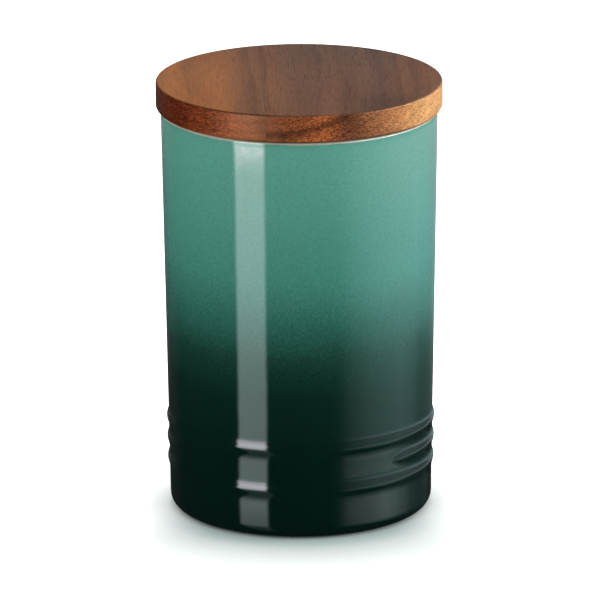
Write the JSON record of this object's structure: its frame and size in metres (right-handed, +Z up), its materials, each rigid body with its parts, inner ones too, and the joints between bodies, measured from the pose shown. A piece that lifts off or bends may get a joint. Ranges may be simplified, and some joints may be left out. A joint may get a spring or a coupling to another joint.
{
  "type": "canister",
  "caption": "Tapered glazed stoneware canister with raised ribs above its foot, closed by a push-in wooden lid with a silicone seal.",
  "frame": {"origin": "centre of the foot ring, on the plane that the canister stands on", "axes": "+Z up along the axis of the jar and lid; -Y is the front, where the middle rib stops; +X is to the right seen from the front"},
  "size_m": [0.1076, 0.1076, 0.1655],
  "materials": {
    "glazed_stoneware": "gloss glaze, mid green at the rim running to near black at the foot",
    "lid_wood_left": "oiled",
    "lid_wood_right": "oiled",
    "silicone": "satin, translucent white"
  },
  "bodies": {
    "jar": {"jar": "glazed_stoneware"},
    "seal": {"lid_seal": "silicone"},
    "lid": {"lid_left_stave": "lid_wood_left", "lid_right_stave": "lid_wood_right"}
  },
  "joints": [
    {"name": "lid_lift", "type": "slide", "parent": "jar", "child": "seal", "axis": [0, 0, 1], "range_m": [0, 0.08]},
    {"name": "lid_turn", "type": "hinge", "parent": "seal", "child": "lid", "pos_m": [0, 0, 0.1489], "axis": [0, 0, 1], "continuous": true}
  ]
}
